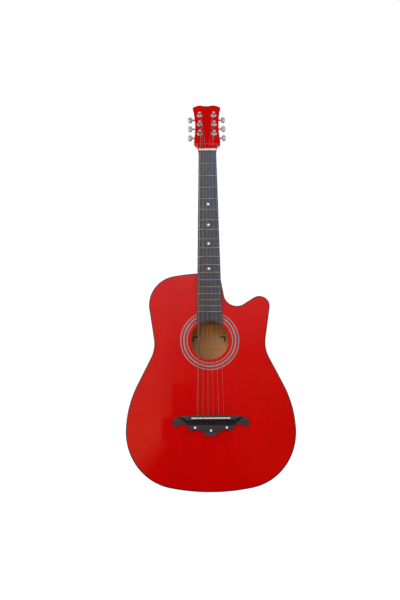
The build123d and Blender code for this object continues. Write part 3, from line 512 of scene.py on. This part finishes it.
def makePearl(name, tints):
    material, tree, shader = newFinish(name, {"Coat Weight": 1.0, "Coat Roughness": 0.05})
    folds = addNode(tree, "ShaderNodeTexNoise", {"Scale": 420.0, "Detail": 4.0, "Distortion": 2.2})
    join(tree, addPlace(tree, (1, 1, 0.5)), folds.inputs["Vector"])
    join(tree, addRamp(tree, folds.outputs["Fac"], tints), shader.inputs["Base Color"])
    gleam = addMath(tree, "MULTIPLY", folds.outputs["Fac"], 0.4)
    join(tree, gleam, shader.inputs["Roughness"])
    addBump(tree, shader, folds.outputs["Fac"], 0.1, 0.0002)
    return material


# the rosette's rings: teal-grey strips under the lacquer, with fine marbling
rosetteSetup = {"pale": (0.19, 0.32, 0.32), "dark": (0.14, 0.24, 0.24)}


def makeRosette(name, pale, dark):
    material, tree, shader = newFinish(name, {"Coat Weight": 1.0, "Coat Roughness": 0.05, "Roughness": 0.4})
    veins = addNode(tree, "ShaderNodeTexNoise", {"Scale": 260.0, "Detail": 5.0, "Roughness": 0.6})
    join(tree, addPlace(tree), veins.inputs["Vector"])
    shade = addRamp(tree, veins.outputs["Fac"], [(0.35, 0.0), (0.65, 1.0)])
    join(tree, addMix(tree, shade, pale, dark), shader.inputs["Base Color"])
    addBump(tree, shader, veins.outputs["Fac"], 0.05, 0.0001)
    return material


# the label: aged paper with printed corner marks and ruled lines, and no words
labelSetup = {
    "paper": (0.90, 0.47, 0.20), "stain": (0.74, 0.35, 0.13), "ink": (0.04, 0.015, 0.01),
    "cornerInset": 0.0030, "cornerStroke": 0.0034, "cornerReach": 0.0165,
    "marginX": 0.0185, "marginHalf": 0.0016, "marginTop": 0.012,
    "ruleStart": 0.036, "ruleSpacing": 0.012, "ruleHalf": 0.0006,
    "rulesTop": 0.030, "rulesLeft": 0.030, "rulesRight": 0.014,
}


def makeLabel(name, setup):
    material, tree, shader = newFinish(name, {"Roughness": 0.85, "Specular IOR Level": 0.2})
    fibres = addNode(tree, "ShaderNodeTexNoise", {"Scale": 500.0, "Detail": 6.0, "Roughness": 0.7})
    join(tree, addPlace(tree), fibres.inputs["Vector"])
    marks = useGroup(tree, handling, {"Scale": 0.8})
    colour = addMix(tree, marks.outputs["Smudge"], setup["paper"], setup["stain"])
    aged = addMath(tree, "MULTIPLY", fibres.outputs["Fac"], 0.35)
    colour = addMix(tree, aged, colour, setup["stain"])

    def above(value, limit):
        return addMath(tree, "GREATER_THAN", value, limit)

    def below(value, limit):
        return addMath(tree, "LESS_THAN", value, limit)

    def allOf(first, *others):
        for other in others:
            first = addMath(tree, "MULTIPLY", first, other)
        return first

    # distances in from the edges of the paper
    low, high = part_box("label")
    place = splitPlace(tree)
    fromLeft = addMath(tree, "SUBTRACT", place["X"], low.x)
    fromRight = addMath(tree, "SUBTRACT", high.x, place["X"])
    fromTop = addMath(tree, "SUBTRACT", high.z, place["Z"])
    fromFoot = addMath(tree, "SUBTRACT", place["Z"], low.z)
    inX = addMath(tree, "MINIMUM", fromLeft, fromRight)
    inZ = addMath(tree, "MINIMUM", fromTop, fromFoot)
    nearer = addMath(tree, "MINIMUM", inX, inZ)
    farther = addMath(tree, "MAXIMUM", inX, inZ)
    corner = allOf(
        above(nearer, setup["cornerInset"]),
        below(nearer, setup["cornerInset"] + setup["cornerStroke"]),
        below(farther, setup["cornerReach"]),
    )
    margin = addMath(tree, "COMPARE", fromLeft, setup["marginX"], setup["marginHalf"])
    margin = allOf(margin, above(fromTop, setup["marginTop"]))
    rules = addMath(tree, "SUBTRACT", fromTop, setup["ruleStart"])
    rules = addMath(tree, "PINGPONG", rules, setup["ruleSpacing"])
    rules = allOf(
        below(rules, setup["ruleHalf"]), above(fromTop, setup["rulesTop"]),
        above(fromLeft, setup["rulesLeft"]), above(inX, setup["rulesRight"]),
    )
    ruled = allOf(addMath(tree, "MAXIMUM", margin, rules), fibres.outputs["Fac"])
    printed = addMath(tree, "MAXIMUM", addMath(tree, "MULTIPLY", corner, 0.97), ruled)
    join(tree, addMix(tree, printed, colour, setup["ink"]), shader.inputs["Base Color"])
    addBump(tree, shader, fibres.outputs["Fac"], 0.3, 0.0002)
    return material


finishes = {
    "lacquer": makeLacquer("redLacquer", **lacquerSetup),
    "binding": makeBinding("blackBinding", **bindingSetup),
    "wound": makeWound("bronzeWound", **woundSetup),
    "ivory": makeIvory("ivoryPlastic", **ivorySetup),
    "pearl": makePearl("pearlDot", **pearlSetup),
    "rosette": makeRosette("rosetteStrips", **rosetteSetup),
    "label": makeLabel("paperLabel", labelSetup),
}
for woodName, setup in woodSetups.items():
    finishes[woodName] = makeWood(woodName, setup)
for metalName, setup in metalSetups.items():
    finishes[metalName] = makeMetal(metalName, *setup)
print("finishes:", len(finishes))


# each CAD node takes its finish
dressing = {
    "lacquer": ["neck"],
    "binding": ["bindings", "heel_cap"],
    "spruce": ["top_braces", "back_braces"],
    "plywood": ["neck_block", "tail_block", "linings", "bridge_plate"],
    "rosewood": ["fingerboard"],
    "bridgewood": ["bridge"],
    "rosette": ["rosette"],
    "label": ["label"],
    "ivory": ["saddle", "nut"],
    "pearl": ["bridge_caps", "fret_markers"],
    "steel": ["bridge_bolts", "neck_bolts", "truss_rod"],
    "fretWire": ["frets"],
    "nickel": ["bushings", "tuner_plates", "plate_screws"],
    "wound": ["wound_strings"],
    "plainWire": ["plain_strings"],
}
perTuner = {"nickel": "post", "brass": "gear", "steel": "worm", "satin": "button"}
woundCount = 4


def dress(name, *finishNames):
    part = nodes[name]
    part.data.materials.clear()
    for finishName in finishNames:
        part.data.materials.append(finishes[finishName])
    return part


for finishName, names in dressing.items():
    for name in names:
        dress(name, finishName)
for number in range(1, 7):
    for finishName, stem in perTuner.items():
        dress(f"{stem}_{number}", finishName)
    dress(f"string_coil_{number}", "wound" if number <= woundCount else "plainWire")


def paintOutside(name, isOutside):
    # lacquer on the outer faces, bare wood on the inner ones
    part = dress(name, "lacquer", "plywood")
    for face in part.data.polygons:
        face.material_index = 0 if isOutside(face) else 1


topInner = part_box("top")[1].y
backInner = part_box("back")[0].y
skin = 0.0002
paintOutside("top", lambda face: face.center.y < topInner - skin)
paintOutside("back", lambda face: face.center.y > backInner + skin)


def makeSideTest():
    # a wall face looks out of the body when the ray off it crosses the walls an even number of times
    shell = bmesh.new()
    for name in ("side_bass", "side_treble"):
        shell.from_mesh(nodes[name].data)
    tree = BVHTree.FromBMesh(shell)

    def looksOut(face):
        flat = Vector((face.normal.x, 0, face.normal.z))
        if flat.length < 0.5:
            return False
        flat.normalize()
        place = Vector((face.center.x, (backInner + topInner) / 2, face.center.z)) + flat * skin
        crossings = 0
        while crossings < 12:
            hit = tree.ray_cast(place, flat)
            if hit[0] is None:
                break
            crossings += 1
            place = hit[0] + flat * skin
        return (crossings // 2) % 2 == 0

    return looksOut


sideTest = makeSideTest()
paintOutside("side_bass", sideTest)
paintOutside("side_treble", sideTest)
print("CAD nodes dressed")
